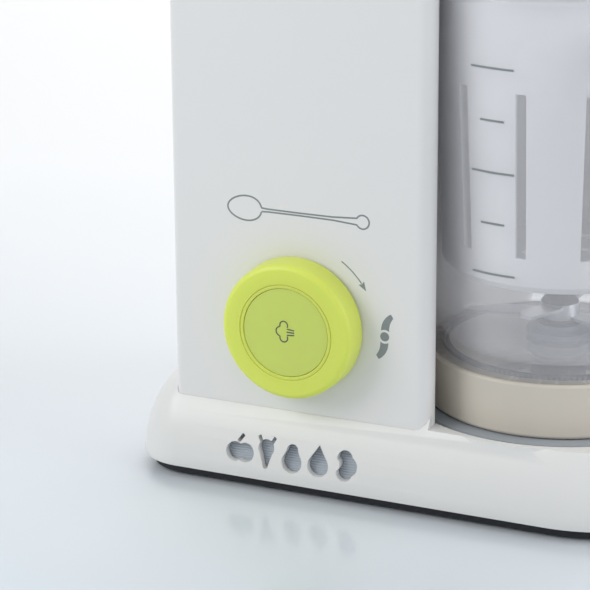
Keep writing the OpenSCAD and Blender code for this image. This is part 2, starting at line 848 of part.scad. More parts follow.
module knob_bush() {
    color(mid_grey) at_knob(-wall - 2) difference() {
        union() {
            cylinder(r = 8.5, h = wall + 2);
            cylinder(r = 11, h = 2);
        }
        translate([0, 0, -1]) cylinder(r = shaft_r + run_fit, h = 20);
    }
}

module control_knob() {
    profile = concat(
        [[shaft_r, 0.5], [knob_r - 0.4, 0.5], [knob_r, 1.2]],
        arc([knob_r - 0.5 - edge_r, face - edge_r], edge_r, 0, 90, 10),
        [[groove_r + 2, face], [groove_r + 1.8, face - 0.6], [groove_r + 0.8, face - 0.6]],
        [[groove_r + 0.6, face - 0.1], [groove_r, face - 0.1], [groove_r, knob_web], [shaft_r, knob_web]]
    );
    color(lime) at_knob(0) rotate_extrude($fn = 128) polygon(profile);
}

module knob_shaft() {
    color(steel) at_knob(board_out) tube(shaft_r, stem_r + 0.3, knob_web - board_out);
}

module steam_button() {
    thick = 3;
    profile = concat([[0, face - 0.4 - thick], [button_r, face - 0.4 - thick]],
        arc([button_r - 0.5, face - 0.9], 0.5, 0, 90, 4), [[0, face - 0.4]]);
    color(dull_lime) at_knob(0) {
        rotate_extrude($fn = 128) polygon(profile);
        translate([0, 0, board_out - 4.8]) cylinder(r = stem_r, h = face - thick - board_out + 4.6);
    }
}

// Printed steam sign: an open cloud with three short lines
module button_mark() {
    line = 0.4;
    // [x, y, outer radius, first and last angle] of each arc of the cloud
    puffs = [[-0.8, 2.9, 1.8, -25, 200], [-2.15, 0.35, 2.05, 112, 248], [-0.8, -2.2, 1.8, 160, 385]];
    color(ink) at_knob(face - 0.4) {
        for (p = puffs) translate([p[0], p[1], 0]) linear_extrude(0.12)
            polygon(concat(arc([0, 0], p[2], p[3], p[4], 14), arc([0, 0], p[2] - line, p[4], p[3], 14)));
        for (y = [-0.9, 0.2, 1.3]) translate([0.5, y, 0]) cube([3.1, line, 0.12]);
    }
}

// ---------- tank lid and its lever ----------

module tank_lid() {
    top = column_top + 1.1;
    color(white) difference() {
        union() {
            at_tank(0) rotate_extrude($fn = 96) polygon(concat(
                [[0, top], [tank_lid_r - 0.6, top], [tank_lid_r, top + 0.6]],
                arc([tank_lid_r - 2.5, top + 3], 2.5, 0, 90, 6),
                [[20, top + 6], [0, top + 6.4]]
            ));
            at_tank(column_top - 3) cylinder(r = tank_r - tank_wall - 0.8, h = 5);
            cross_bar(lid_hinge_y, lid_hinge_z, 3.6, barrel_w);
            translate([tank_x - barrel_w / 2, lid_hinge_y - 14, top]) cube([barrel_w, 14, 4]);
            for (s = [-16, 12]) translate([tank_x + s, lever_y, lever_z]) {
                rotate([0, 90, 0]) cylinder(r = 3, h = 4);
                translate([0, -3, -7]) cube([4, 6, 7]);
            }
        }
        cross_bar(lid_hinge_y, lid_hinge_z, hinge_pin_r + run_fit, 80);
        cross_bar(lever_y, lever_z, lever_pin_r, 80);
        at_tank(column_top - 4) cylinder(r = tank_r - tank_wall - 3, h = 5);
    }
}

module tank_lid_seal() {
    color([0.8, 0.8, 0.78]) at_tank(column_top - 1.6) rotate_extrude($fn = 96)
        translate([tank_r - tank_wall - 0.8, 0]) square([0.4, 1.2]);
}

module lid_hinge_pin() {
    color(steel) cross_bar(lid_hinge_y, lid_hinge_z, hinge_pin_r, 37.2);
}

// Lever that lies along the lid and hooks over its front edge
module lock_lever() {
    tip = jug_y - tank_lid_r - 4;
    width = 23;
    side = [
        [lever_y, lever_z - 3], [lever_y, lever_z + 3], [tip + 8, lever_z + 3.4],
        [tip + 2, lever_z + 1], [tip, lever_z - 3], [tip, column_top + 2],
        [tip + 3, column_top + 2], [tip + 4, lever_z - 2.4], [tip + 10, lever_z - 1]
    ];
    color(lime) difference() {
        union() {
            cross_bar(lever_y, lever_z, 3, width);
            translate([tank_x - width / 2, 0, 0]) rotate([90, 0, 90]) linear_extrude(width) polygon(side);
        }
        cross_bar(lever_y, lever_z, lever_pin_r + run_fit, 80);
    }
}

module lever_pin() {
    color(steel) cross_bar(lever_y, lever_z, lever_pin_r, 32);
}

// ---------- jug ----------

jug_low_z = 54.5;
jug_low_r = 51;
rim_bead = 1.4;
gasket_r = 44.5;
blade_shaft_r = 3;
function jug_r(z) = jug_low_r + (jug_rim_r - jug_low_r) * (z - jug_low_z) / (jug_rim_z - jug_low_z);

module jug_bowl() {
    profile = concat(
        [[jug_low_r, jug_low_z], [jug_r(jug_rim_z - 5), jug_rim_z - 5]],
        arc([jug_rim_r, jug_rim_z - 2.4], rim_bead, -60, 60, 6),
        [[jug_rim_r - 0.4, jug_rim_z], [jug_rim_r - jug_wall, jug_rim_z]],
        arc([jug_r(jug_floor_z + 9) - jug_wall - 9, jug_floor_z + 9], 9, 0, -90, 8),
        [[9, jug_floor_z], [9, jug_floor_z - jug_wall]],
        [[jug_low_r - 5, jug_floor_z - jug_wall], [jug_low_r - 5, jug_low_z]]
    );
    color([0.86, 0.89, 0.92, 0.45]) at_jug(0) rotate_extrude($fn = 128) polygon(profile);
}

// Raised scale of level lines on the jug's wall
module jug_marks() {
    color(ink) for (i = [0:4]) at_jug(96 + i * 20) rotate(-100) difference() {
        intersection() {
            cylinder(r = jug_r(96 + i * 20) + 0.35, h = 0.8, $fn = 128);
            translate([0, i % 2 == 0 ? -9 : -5, -1]) cube([90, i % 2 == 0 ? 18 : 10, 4]);
        }
        translate([0, 0, -1]) cylinder(r = jug_r(96 + i * 20) + 0.05, h = 4, $fn = 128);
    }
}

module jug_collar() {
    color(warm_grey) at_jug(0) rotate_extrude($fn = 128) polygon([
        [38, collar_z], [jug_foot_r, collar_z], [jug_foot_r + 0.8, collar_z + 1],
        [jug_foot_r + 0.8, jug_low_z - 0.8], [jug_foot_r, jug_low_z], [gasket_r, jug_low_z],
        [gasket_r, collar_z + 3.5], [38, collar_z + 3.5]
    ]);
}

module jug_gasket() {
    color(rubber) at_jug(jug_low_z) tube(jug_low_r - 5, gasket_r - 1, jug_floor_z - jug_wall - jug_low_z);
}

// Outline of the C-shaped handle, from the jug's axis outward
module handle_outline() {
    top = 192;
    foot = 74;
    reach = 90;
    thick = 11;
    difference() {
        polygon(concat(
            [[40, foot + 4]], arc([reach - 22, foot + 16], 16, -90, 0, 8),
            arc([reach - 20, top - 20], 20, 0, 90, 10), [[40, top]]
        ));
        polygon(concat(
            [[30, foot + thick + 3]], arc([reach - 22 - 5, foot + thick + 12], 10, -90, 0, 8),
            arc([reach - thick - 12, top - thick - 12], 12, 0, 90, 10), [[30, top - thick]]
        ));
    }
}

module jug_handle() {
    color(white) difference() {
        at_jug(0) rotate(handle_angle) rotate([90, 0, 0]) translate([0, 0, -handle_w / 2])
            linear_extrude(handle_w) handle_outline();
        at_jug(jug_low_z) cylinder(r1 = jug_r(jug_low_z) + 0.05, r2 = jug_r(jug_rim_z) + 0.05,
            h = jug_rim_z - jug_low_z, $fn = 128);
    }
}

module blade_bush() {
    color(mid_grey) at_jug(0) difference() {
        union() {
            translate([0, 0, 50]) cylinder(r = 8.9, h = 13);
            translate([0, 0, jug_floor_z]) cylinder(r = 13, h = 2);
            translate([0, 0, jug_floor_z - jug_wall - 4]) cylinder(r = 13, h = 4);
        }
        cylinder(r = blade_shaft_r + run_fit, h = 90);
    }
}

module blade_set() {
    blade = [[4.5, -4], [16, -6.5], [28, -6.5], [38, -3], [40, 2], [30, 2.6], [16, 4], [4.5, 4]];
    color(steel) at_jug(0) {
        translate([0, 0, socket_top]) cylinder(r = blade_shaft_r, h = 72 - socket_top);
        translate([0, 0, 65]) cylinder(r = 7.5, h = 6.5);
        for (i = [0:blade_count - 1]) rotate([0, 0, i * 360 / blade_count])
            translate([0, 0, i % 2 == 0 ? 66 : 68.6]) rotate([0, i % 2 == 0 ? 6 : -10, 0])
                linear_extrude(1.2) polygon(blade);
    }
}

module blade_hub() {
    color(black) at_jug(0) difference() {
        union() {
            translate([0, 0, 63.3]) cylinder(r = 9, h = 1.7);
            translate([0, 0, 71.5]) cylinder(r1 = 7.5, r2 = 4.5, h = 4);
        }
        translate([0, 0, 60]) cylinder(r = blade_shaft_r, h = 12);
    }
}

module blade_coupler() {
    color(black) at_jug(0) difference() {
        translate([0, 0, coupler_z + 1.6]) cylinder(r = 11, h = 10);
        translate([0, 0, coupler_z + 1]) lobed(6, 1.8, socket_top - coupler_z - 1);
        cylinder(r = blade_shaft_r, h = 60);
    }
}

// ---------- basket and jug lid ----------

module steam_basket() {
    floor_r = 46.5;
    top_r = 52.6;
    skin = 1.8;
    lip_z = jug_rim_z + 0.3;
    lip_r = jug_rim_r - 0.6;
    color([0.88, 0.90, 0.90]) at_jug(0) difference() {
        rotate_extrude($fn = 128) polygon([
            [0, basket_z], [floor_r - 3, basket_z], [floor_r, basket_z + 3], [top_r, lip_z],
            [lip_r, lip_z], [lip_r, lip_z + skin], [top_r - skin, lip_z + skin],
            [floor_r - skin, basket_z + 4], [floor_r - skin - 2, basket_z + skin], [0, basket_z + skin]
        ]);
        ring_of(12, 40) translate([0, -2, basket_z + 14]) cube([20, 4, 64]);
        ring_of(6, 14) translate([0, 0, basket_z - 1]) cylinder(r = 2.4, h = 5);
        ring_of(12, 30) translate([0, 0, basket_z - 1]) cylinder(r = 2.4, h = 5);
    }
}

lid_z = jug_rim_z + 2.5;
lid_dome = 22;
lid_outer_r = 58.2;
// Thick lid with a grip bar in a round recess, and a steam inlet in its side
module jug_lid() {
    color(white) at_jug(lid_z) {
        difference() {
            rotate_extrude($fn = 128) polygon(concat(
                [[50, 0], [50, -5], [48, -5], [48, lid_dome - 4], [0, lid_dome - 4], [0, lid_dome - 2]],
                [[25, lid_dome - 2], [26, lid_dome + 1.5], [42, lid_dome + 0.6]],
                arc([lid_outer_r - 5, lid_dome - 5], 5, 84, 0, 6), [[lid_outer_r, 0]]
            ));
            translate([-70, 0, port_z - lid_z]) rotate([0, 90, 0]) cylinder(r = 4.5, h = 30);
        }
        translate([-24, -5, lid_dome - 3]) cube([48, 10, 11]);
    }
}

module lid_seal() {
    color([0.8, 0.8, 0.78]) at_jug(lid_z - 3) tube(50.5, 50, 2);
}

module lid_inlet() {
    color(mid_grey) translate([jug_x - lid_outer_r + 0.6, jug_y, port_z]) rotate([0, 90, 0]) difference() {
        cylinder(r = 4.5, h = 8);
        translate([0, 0, -1]) cylinder(r = 3, h = 20);
    }
}

base_shell();
base_plate();
rubber_feet();
case_screws();
window_insert();
seat_ring();
dish_seal();
front_panel();
rear_housing();
cradle_wall();
top_cap();
panel_marks();
cord_gland();
terminal_block();
motor_can();
motor_bracket();
motor_rotor();
motor_fan();
motor_pulley();
drive_belt();
drive_bearings();
bearing_carrier();
drive_pulley();
drive_spindle();
drive_coupler();
tank();
tank_collar();
heating_element();
tank_bracket();
thermostats();
steam_pipe();
steam_port();
control_board();
board_posts();
turn_switch();
push_switch();
knob_bush();
control_knob();
knob_shaft();
steam_button();
button_mark();
hinge_bracket();
tank_lid();
tank_lid_seal();
lid_hinge_pin();
lock_lever();
lever_pin();
jug_bowl();
jug_marks();
jug_gasket();
jug_collar();
jug_handle();
blade_bush();
blade_set();
blade_hub();
blade_coupler();
steam_basket();
jug_lid();
lid_seal();
lid_inlet();
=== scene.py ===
import math

import bmesh
import bpy
from mathutils import Matrix, Vector


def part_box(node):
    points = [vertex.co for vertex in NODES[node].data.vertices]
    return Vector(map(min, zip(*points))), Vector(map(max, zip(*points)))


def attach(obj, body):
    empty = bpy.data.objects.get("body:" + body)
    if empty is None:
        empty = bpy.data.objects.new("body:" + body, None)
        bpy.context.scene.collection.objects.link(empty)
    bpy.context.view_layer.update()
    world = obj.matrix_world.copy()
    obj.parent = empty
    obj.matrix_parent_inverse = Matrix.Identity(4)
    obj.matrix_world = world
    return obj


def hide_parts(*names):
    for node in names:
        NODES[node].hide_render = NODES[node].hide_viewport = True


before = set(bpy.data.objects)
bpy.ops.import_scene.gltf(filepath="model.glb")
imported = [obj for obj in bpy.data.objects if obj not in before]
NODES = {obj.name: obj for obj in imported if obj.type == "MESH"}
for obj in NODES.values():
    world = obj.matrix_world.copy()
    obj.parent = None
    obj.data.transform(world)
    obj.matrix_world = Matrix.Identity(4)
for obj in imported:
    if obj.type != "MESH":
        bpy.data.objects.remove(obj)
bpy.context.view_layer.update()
MM = 0.001


# ---------------------------------------------------------------- camera

CAM_POS = Vector((365.44, -957.04, 404.28)) * MM
CAM_FORWARD = Vector((-0.39780, 0.86228, -0.31342)).normalized()
CAM_ROLL = math.radians(-0.382)
CAM_LENS = 163.148

level = CAM_FORWARD.cross(Vector((0, 0, 1))).normalized()
upright = level.cross(CAM_FORWARD)
right = math.cos(CAM_ROLL) * level + math.sin(CAM_ROLL) * upright
up = right.cross(CAM_FORWARD)
cam_data = bpy.data.cameras.new("camera")
cam_data.lens = CAM_LENS
cam_data.sensor_width = 36.0
cam_data.clip_start, cam_data.clip_end = 0.05, 50.0
camera = bpy.data.objects.new("camera", cam_data)
facing = Matrix((right, up, -CAM_FORWARD)).transposed().to_4x4()
camera.matrix_world = Matrix.Translation(CAM_POS) @ facing
bpy.context.scene.collection.objects.link(camera)
bpy.context.scene.camera = camera


# ---------------------------------------------------------------- materials

def shader(name):
    mat = bpy.data.materials.new(name)
    mat.use_nodes = True
    tree = mat.node_tree
    return mat, tree, tree.nodes["Principled BSDF"]


def coords(tree, stretch=(1, 1, 1)):
    origin = tree.nodes.new("ShaderNodeTexCoord")
    mapping = tree.nodes.new("ShaderNodeMapping")
    mapping.inputs["Scale"].default_value = stretch
    tree.links.new(origin.outputs["Object"], mapping.inputs["Vector"])
    return mapping.outputs["Vector"]


def noise(tree, scale, detail, stretch=(1, 1, 1)):
    n = tree.nodes.new("ShaderNodeTexNoise")
    n.inputs["Scale"].default_value = scale
    n.inputs["Detail"].default_value = detail
    n.inputs["Roughness"].default_value = 0.55
    tree.links.new(coords(tree, stretch), n.inputs["Vector"])
    return n.outputs["Fac"]


def ramp(tree, fac, stops):
    node = tree.nodes.new("ShaderNodeValToRGB")
    elements = node.color_ramp.elements
    while len(elements) < len(stops):
        elements.new(0.5)
    for element, (position, color) in zip(elements, stops):
        element.position = position
        element.color = (*color, 1.0)
    tree.links.new(fac, node.inputs["Fac"])
    return node.outputs["Color"]


def span(tree, fac, lo, hi):
    m = tree.nodes.new("ShaderNodeMapRange")
    m.inputs["To Min"].default_value = lo
    m.inputs["To Max"].default_value = hi
    tree.links.new(fac, m.inputs["Value"])
    return m.outputs["Result"]


def shade(c, k):
    return tuple(max(0.0, min(1.0, v * k)) for v in c)


def drift(tree, bsdf, fac, color, low, high):
    """Lets the base colour go from low times color to high times color as fac rises."""
    tone = ramp(tree, fac, [(0.3, shade(color, low)), (0.7, shade(color, high))])
    tree.links.new(tone, bsdf.inputs["Base Color"])


def bump(tree, bsdf, heights):
    """Chains (height socket, strength, distance in metres) into the shader's normal."""
    last = None
    for height, strength, distance in heights:
        b = tree.nodes.new("ShaderNodeBump")
        b.inputs["Strength"].default_value = strength
        b.inputs["Distance"].default_value = distance
        tree.links.new(height, b.inputs["Height"])
        if last is not None:
            tree.links.new(last, b.inputs["Normal"])
        last = b.outputs["Normal"]
    tree.links.new(last, bsdf.inputs["Normal"])


def plastic(name, color, rough, spread, grain, depth, strength, cloud, contrast,
            coat=0.0, sss=0.0, sss_radius=(0.004, 0.004, 0.004), wave=0.0):
    """Moulded plastic: slow tone drift, fine grain, uneven roughness, and waviness if asked for."""
    mat, tree, bsdf = shader(name)
    slow = noise(tree, cloud, 3.0)
    drift(tree, bsdf, slow, color, 1 - contrast, 1 + contrast)
    mottled = noise(tree, cloud * 9, 5.0)
    tree.links.new(span(tree, mottled, rough - spread, rough + spread), bsdf.inputs["Roughness"])
    heights = [(noise(tree, grain, 2.0), strength, depth)]
    if wave:
        heights.insert(0, (noise(tree, 38.0, 1.0), wave, 0.0004))
    bump(tree, bsdf, heights)
    bsdf.inputs["Specular IOR Level"].default_value = 0.5
    bsdf.inputs["Coat Weight"].default_value = coat
    bsdf.inputs["Coat Roughness"].default_value = 0.2
    if sss:
        bsdf.inputs["Subsurface Weight"].default_value = sss
        bsdf.inputs["Subsurface Radius"].default_value = sss_radius
        bsdf.inputs["Subsurface Scale"].default_value = 1.0
    return mat


def metal(name, color, rough=0.32, stretch=(1, 1, 40)):
    """Brushed metal: fine lines across the local z axis."""
    mat, tree, bsdf = shader(name)
    lines = noise(tree, 300.0, 3.0, stretch)
    drift(tree, bsdf, lines, color, 0.88, 1.06)
    tree.links.new(span(tree, lines, rough - 0.08, rough + 0.1), bsdf.inputs["Roughness"])
    bsdf.inputs["Metallic"].default_value = 1.0
    bump(tree, bsdf, [(lines, 0.15, 0.00004)])
    return mat


def clear(name, color, rough, haze):
    """Thin clear plastic: mostly see-through, with a faint haze and its own gloss."""
    mat, tree, bsdf = shader(name)
    slow = noise(tree, 14.0, 3.0)
    drift(tree, bsdf, slow, color, 0.97, 1.0)
    tree.links.new(span(tree, noise(tree, 60.0, 4.0), rough * 0.6, rough * 1.6), bsdf.inputs["Roughness"])
    tree.links.new(span(tree, slow, haze * 0.85, haze * 1.15), bsdf.inputs["Alpha"])
    bsdf.inputs["Specular IOR Level"].default_value = 1.0
    bump(tree, bsdf, [(noise(tree, 26.0, 1.0), 0.05, 0.0006)])
    return mat


WHITE = (0.80, 0.79, 0.775)
BASE_WHITE = (0.765, 0.76, 0.74)
LIME = (0.70, 0.785, 0.125)
BUTTON_LIME = (0.60, 0.70, 0.14)
GREY_INK = (0.24, 0.265, 0.27)
MAT = {
    "panel": plastic("panel_white", WHITE, rough=0.42, spread=0.03, grain=2200, depth=0.00002,
                     strength=0.22, cloud=7.0, contrast=0.006, coat=0.08, wave=0.03),
    "base": plastic("base_white", BASE_WHITE, rough=0.33, spread=0.04, grain=2400, depth=0.00002,
                    strength=0.2, cloud=9.0, contrast=0.008, coat=0.15, sss=0.12,
                    sss_radius=(0.004, 0.004, 0.0038), wave=0.04),
    "white": plastic("shell_white", WHITE, rough=0.4, spread=0.04, grain=2200, depth=0.00002,
                     strength=0.22, cloud=9.0, contrast=0.01, coat=0.08, wave=0.03),
    "lime": plastic("lime", LIME, rough=0.4, spread=0.04, grain=2600, depth=0.000015, strength=0.15,
                    cloud=22.0, contrast=0.015, sss=0.35, sss_radius=(0.006, 0.008, 0.0015), wave=0.02),
    "button": plastic("button_lime", BUTTON_LIME, rough=0.5, spread=0.04, grain=3400, depth=0.00003,
                      strength=0.35, cloud=26.0, contrast=0.02, sss=0.15,
                      sss_radius=(0.004, 0.005, 0.001)),
    "ink": plastic("grey_ink", GREY_INK, rough=0.5, spread=0.05, grain=3600, depth=0.00001,
                   strength=0.3, cloud=120.0, contrast=0.05),
    "dark_ink": plastic("dark_ink", (0.10, 0.115, 0.075), rough=0.5, spread=0.05, grain=3600,
                        depth=0.00001, strength=0.3, cloud=120.0, contrast=0.05),
    "black": plastic("black_plastic", (0.010, 0.011, 0.015), rough=0.55, spread=0.06, grain=1800,
                     depth=0.00004, strength=0.4, cloud=30.0, contrast=0.1),
    "grey": plastic("grey_plastic", (0.33, 0.36, 0.39), rough=0.5, spread=0.06, grain=2000,
                    depth=0.00004, strength=0.35, cloud=26.0, contrast=0.04),
    "insert": plastic("insert_grey", (0.46, 0.50, 0.55), rough=0.5, spread=0.06, grain=2400,
                      depth=0.00003, strength=0.3, cloud=60.0, contrast=0.04),
    "warm": plastic("warm_grey", (0.62, 0.57, 0.49), rough=0.45, spread=0.05, grain=2000, depth=0.00003,
                    strength=0.3, cloud=30.0, contrast=0.03),
    "rubber": plastic("rubber", (0.02, 0.02, 0.022), rough=0.65, spread=0.08, grain=1500, depth=0.00005,
                      strength=0.5, cloud=40.0, contrast=0.15),
    "silicone": plastic("silicone", (0.68, 0.68, 0.66), rough=0.5, spread=0.05, grain=1500,
                        depth=0.00003, strength=0.3, cloud=30.0, contrast=0.02, sss=0.4),
    "board": plastic("board_green", (0.05, 0.20, 0.10), rough=0.4, spread=0.08, grain=900,
                     depth=0.00004, strength=0.4, cloud=150.0, contrast=0.15, coat=0.3),
    "steel": metal("brushed_steel", (0.62, 0.63, 0.65)),
    "brass": metal("brass", (0.72, 0.55, 0.24), rough=0.3, stretch=(1, 1, 30)),
    "clear": clear("jug_clear", (0.92, 0.91, 0.94), rough=0.06, haze=0.26),
    "basket": plastic("basket_grey", (0.88, 0.875, 0.88), rough=0.38, spread=0.05, grain=1800,
                      depth=0.00003, strength=0.3, cloud=20.0, contrast=0.02, sss=0.2),
}
# the finish of each CAD node; a node that a mesh further down replaces stays hidden
NODE_MAT = {
    "panel": "front_panel",
    "base": "base_shell",
    "white": "rear_housing cradle_wall top_cap hinge_bracket tank_lid jug_handle jug_lid board_posts",
    "lime": "control_knob lock_lever",
    "button": "steam_button",
    "ink": "panel_marks button_mark jug_marks",
    "black": "base_plate cord_gland motor_fan drive_pulley drive_coupler turn_switch push_switch "
             "thermostats blade_hub blade_coupler terminal_block",
    "grey": "seat_ring tank_collar steam_port knob_bush blade_bush lid_inlet steam_pipe",
    "insert": "window_insert",
    "warm": "jug_collar",
    "rubber": "rubber_feet dish_seal drive_belt jug_gasket",
    "silicone": "tank_lid_seal lid_seal",
    "board": "control_board",
    "steel": "case_screws motor_can motor_bracket motor_rotor bearing_carrier drive_spindle tank "
             "heating_element tank_bracket knob_shaft lid_hinge_pin lever_pin blade_set",
    "brass": "motor_pulley drive_bearings",
    "clear": "jug_bowl",
    "basket": "steam_basket",
}


# ---------------------------------------------------------------- carried-over CAD nodes

# edges that turn by more than this many degrees count as sharp
SHARP = 32.0
# widths of the rounded edges, in metres; a node that isn't listed keeps its sharp edges
BEVEL = {
    "base_shell": 0.0005, "tank_lid": 0.0005, "lock_lever": 0.0008, "steam_basket": 0.0004,
    "seat_ring": 0.0003, "base_plate": 0.0004, "tank_collar": 0.0003, "hinge_bracket": 0.0004,
    "cord_gland": 0.0004, "window_insert": 0.00008, "jug_collar": 0.0004, "blade_set": 0.00015,
    "drive_coupler": 0.0003, "blade_coupler": 0.0003, "motor_bracket": 0.0002, "case_screws": 0.0002,
    "rubber_feet": 0.0004,
}


def round_edges(obj, width, angle):
    bevel = obj.modifiers.new("bevel", "BEVEL")
    bevel.width = width
    bevel.segments = 3
    bevel.limit_method = "ANGLE"
    bevel.angle_limit = math.radians(angle)
    bevel.use_clamp_overlap = True
    bevel.harden_normals = True


def shade_smooth(data):
    data.polygons.foreach_set("use_smooth", [True] * len(data.polygons))


def soften(obj, width):
    """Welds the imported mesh, rounds its sharp edges and shades it smooth, all by modifiers and flags."""
    data = obj.data
    for name in ("custom_normal", "sharp_face", "sharp_edge"):
        layer = data.attributes.get(name)
        if layer is not None:
            data.attributes.remove(layer)
    shade_smooth(data)
    weld = obj.modifiers.new("weld", "WELD")
    weld.merge_threshold = 0.000002
    if width:
        round_edges(obj, width, SHARP)
    split = obj.modifiers.new("split", "EDGE_SPLIT")
    split.split_angle = math.radians(SHARP)


for kind, names in NODE_MAT.items():
    for name in names.split():
        node = NODES[name]
        node.data.materials.clear()
        node.data.materials.append(MAT[kind])
        soften(node, BEVEL.get(name, 0.0))


# ---------------------------------------------------------------- mesh helpers

def arc(cx, cy, r, a0, a1, n):
    """Points of n steps along a circle round (cx, cy), from a0 to a1 degrees."""
    angles = [math.radians(a0 + (a1 - a0) * i / n) for i in range(n + 1)]
    return [(cx + r * math.cos(a), cy + r * math.sin(a)) for a in angles]


def bend(a, mid, b, n):
    """Points of n steps along the circle that runs from a through mid to b."""
    (ax, ay), (mx, my), (bx, by) = a, mid, b
    twice_area = ax * (my - by) + mx * (by - ay) + bx * (ay - my)
    sa, sm, sb = ax * ax + ay * ay, mx * mx + my * my, bx * bx + by * by
    cx = (sa * (my - by) + sm * (by - ay) + sb * (ay - my)) / (2 * twice_area)
    cy = (sa * (bx - mx) + sm * (ax - bx) + sb * (mx - ax)) / (2 * twice_area)
    start = math.degrees(math.atan2(ay - cy, ax - cx))
    turn = math.degrees(math.atan2(by - cy, bx - cx)) - start
    turn = turn % 360 if twice_area > 0 else -(-turn % 360)
    return arc(cx, cy, math.hypot(ax - cx, ay - cy), start, start + turn, n)


def finish_mesh(name, bm, mat, body, replaced, angle=SHARP):
    """Turns a bmesh drawn in millimetres into a piece that rides on a body, in place of CAD nodes."""
    bmesh.ops.remove_doubles(bm, verts=bm.verts, dist=0.0005)
    bmesh.ops.recalc_face_normals(bm, faces=bm.faces)
    bmesh.ops.scale(bm, vec=(MM,) * 3, verts=bm.verts)
    data = bpy.data.meshes.new(name)
    bm.to_mesh(data)
    bm.free()
    data.materials.append(MAT[mat])
    shade_smooth(data)
    data.set_sharp_from_angle(angle=math.radians(angle))
    obj = bpy.data.objects.new(name, data)
    bpy.context.scene.collection.objects.link(obj)
    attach(obj, body)
    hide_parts(*replaced)
    return obj


def revolve(bm, profile, steps, place):
    """Spins (radius, height) points about an axis; place maps local x, y, z to the frame in millimetres."""
    turns = [2 * math.pi * i / steps for i in range(steps)]
    rings = []
    for r, h in profile:
        if r == 0:
            rings.append([bm.verts.new(place(0.0, 0.0, h))])
        else:
            rings.append([bm.verts.new(place(r * math.cos(t), r * math.sin(t), h)) for t in turns])
    if profile[0] == profile[-1]:
        rings[-1] = rings[0]
    for a, b in zip(rings, rings[1:]):
        for i in range(steps):
            j = (i + 1) % steps
            if len(a) == 1 and len(b) == 1:
                continue
            if len(a) == 1:
                bm.faces.new((a[0], b[i], b[j]))
            elif len(b) == 1:
                bm.faces.new((a[i], a[j], b[0]))
            else:
                bm.faces.new((a[i], a[j], b[j], b[i]))


def slab(bm, outline, place, h0, h1):
    """Closed prism on a simple outline."""
    low = [bm.verts.new(place(x, y, h0)) for x, y in outline]
    high = [bm.verts.new(place(x, y, h1)) for x, y in outline]
    bm.faces.new(low[::-1])
    bm.faces.new(high)
    for i in range(len(low)):
        j = (i + 1) % len(low)
        bm.faces.new((low[i], low[j], high[j], high[i]))


def band(path, half):
    """Outline of a line of even width along an open path, with square ends."""
    left, right_side = [], []
    for i, p in enumerate(path):
        a, b = path[max(i - 1, 0)], path[min(i + 1, len(path) - 1)]
        dx, dy = b[0] - a[0], b[1] - a[1]
        k = half / math.hypot(dx, dy)
        left.append((p[0] - dy * k, p[1] + dx * k))
        right_side.append((p[0] + dy * k, p[1] - dx * k))
    return left + right_side[::-1]


# ---------------------------------------------------------------- places taken from the frame

panel_lo, panel_hi = (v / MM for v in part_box("front_panel"))
knob_lo, knob_hi = (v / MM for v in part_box("control_knob"))
KNOB_X, KNOB_Z = (knob_lo.x + knob_hi.x) / 2, (knob_lo.z + knob_hi.z) / 2
KNOB_R = (knob_hi.x - knob_lo.x) / 2
PANEL_Y = panel_lo.y
KNOB_FACE = PANEL_Y - knob_lo.y
button_lo, button_hi = (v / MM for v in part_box("steam_button"))
BUTTON_R = (button_hi.x - button_lo.x) / 2
BUTTON_FACE = PANEL_Y - button_lo.y
STEM_END = button_hi.y - PANEL_Y


def on_knob(x, y, out):
    """Local x right, y up, out of the panel."""
    return (KNOB_X + x, PANEL_Y - out, KNOB_Z + y)


# ---------------------------------------------------------------- knob and button

# in the profiles the second number is the distance out of the panel
KNOB_BORE_R, KNOB_FOOT, KNOB_WEB = 4.0, 0.5, 3.0
FOOT_EDGE, FACE_EDGE = 0.8, 2.5
knob = bmesh.new()
groove = BUTTON_R + 0.12
profile = [(KNOB_BORE_R, KNOB_FOOT), (KNOB_R - 1.2, KNOB_FOOT)]
profile += arc(KNOB_R - 1.2, KNOB_FOOT + FOOT_EDGE, FOOT_EDGE, -90, 0, 5)[1:]
profile += [(KNOB_R - 0.05, 1.6), (KNOB_R - 0.02, 2.4), (KNOB_R - 0.15, 5.0), (KNOB_R - 0.3, 8.0)]
profile += arc(KNOB_R - 0.4 - FACE_EDGE, KNOB_FACE - FACE_EDGE, FACE_EDGE, 2, 88, 14)
profile += [(groove + 3.0, KNOB_FACE), (groove + 1.95, KNOB_FACE)]
profile += arc(groove + 1.75, KNOB_FACE - 0.2, 0.2, 90, 180, 4)
profile += [(groove + 1.5, KNOB_FACE - 0.45), (groove + 1.25, KNOB_FACE - 0.45)]
profile += arc(groove + 1.0, KNOB_FACE - 0.3, 0.2, 0, 90, 4)
profile += arc(groove + 0.25, KNOB_FACE - 0.35, 0.25, 90, 180, 4)
profile += [(groove, KNOB_FACE - 3.0), (groove, KNOB_WEB)]
profile += [(KNOB_BORE_R, KNOB_WEB), (KNOB_BORE_R, KNOB_FOOT)]
revolve(knob, profile, 192, on_knob)
finish_mesh("knob_ring", knob, "lime", "knob", ["control_knob"], angle=50)

